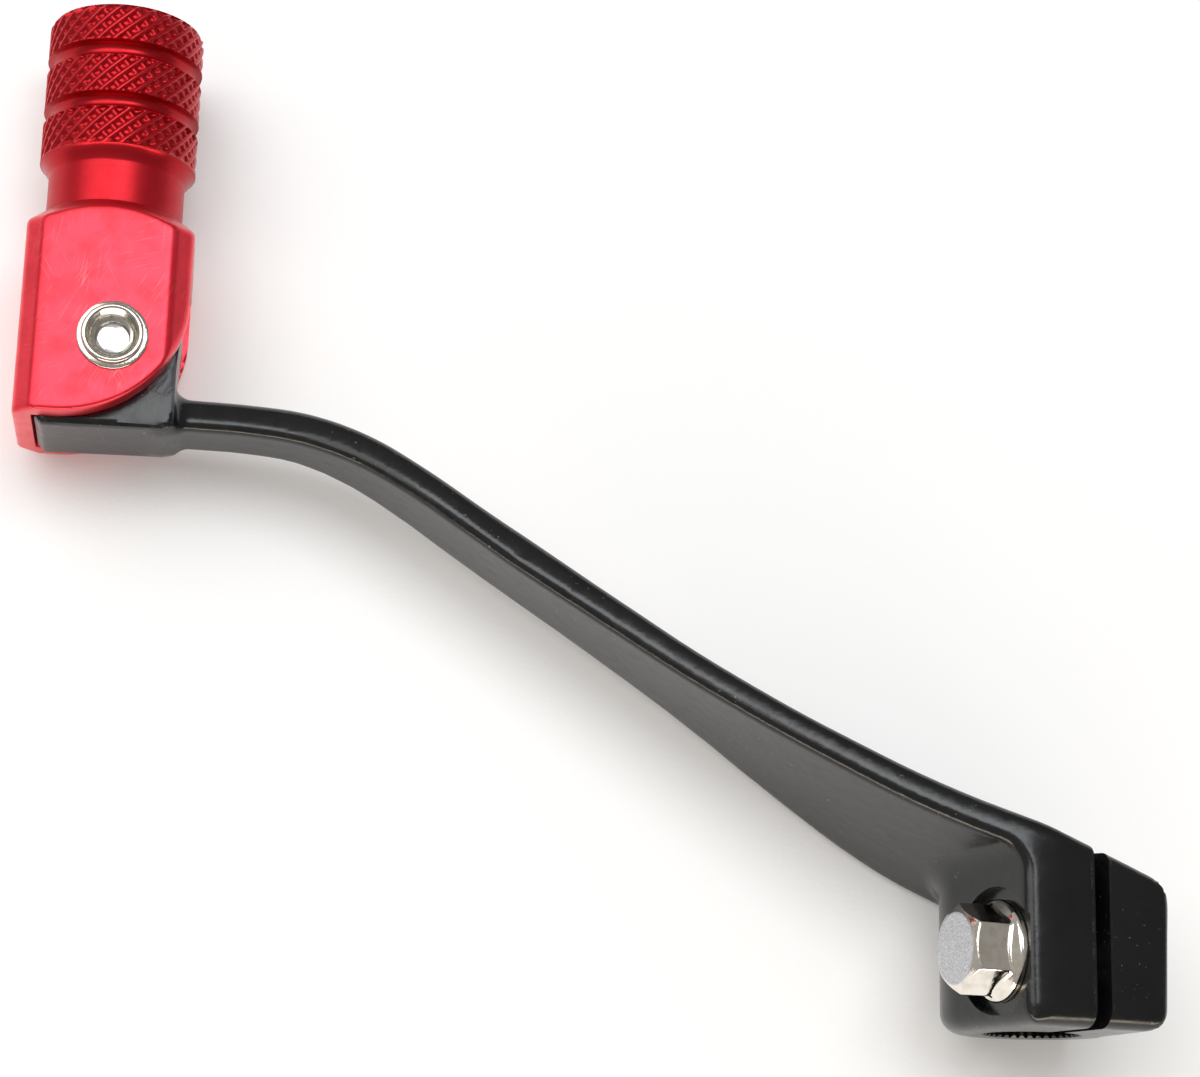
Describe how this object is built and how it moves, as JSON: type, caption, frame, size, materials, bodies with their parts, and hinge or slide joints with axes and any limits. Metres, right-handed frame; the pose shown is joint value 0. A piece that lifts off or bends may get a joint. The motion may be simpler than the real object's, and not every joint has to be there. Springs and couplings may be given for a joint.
{
  "type": "folding tip gear shift lever",
  "caption": "Forged foot shift lever with a splined clamp boss, a slim bent arm and a sprung folding toe tip with a knurled peg.",
  "frame": {"origin": "centre of the splined bore at the middle of the clamp boss", "axes": "+Y along the bore, outboard, the way the toe peg points; -X along the lever to the toe tip; +Z the upper side as it lies on a table"},
  "size_m": [0.1481, 0.1279, 0.031],
  "materials": {
    "black_arm": "satin black",
    "red_tip": "red anodised satin",
    "bolt_chrome": "bright zinc",
    "rivet_steel": "bright rolled steel",
    "bush_bronze": "plain bronze",
    "shim_steel": "ground steel",
    "seal_rubber": "matt",
    "spring_steel": "drawn wire"
  },
  "bodies": {
    "lever": {"lever_arm": "black_arm", "clamp_bolt": "bolt_chrome", "pivot_bush": "bush_bronze", "thrust_washer_upper": "shim_steel", "thrust_washer_lower": "shim_steel", "dust_seal_upper": "seal_rubber", "dust_seal_lower": "seal_rubber"},
    "tip": {"toe_tip": "red_tip", "pivot_pin": "rivet_steel", "rivet_washer": "rivet_steel", "detent_spring": "spring_steel"},
    "plunger": {"detent_plunger": "shim_steel"}
  },
  "joints": [
    {"name": "tip_fold", "type": "hinge", "parent": "lever", "child": "tip", "pos_m": [-0.1226, 0.07106, 0], "axis": [0, 0, -1], "range_deg": [0, 70], "stiffness_Nm_per_rad": 0.35, "springref_deg": -45.84},
    {"name": "plunger_slide", "type": "slide", "parent": "tip", "child": "plunger", "axis": [0, 1, 0], "range_m": [0, 0.0018], "deforming": ["detent_spring"]}
  ],
  "couplings": [
    {"joint": "plunger_slide", "follows": "tip_fold", "m_per_rad": 0.0014}
  ]
}
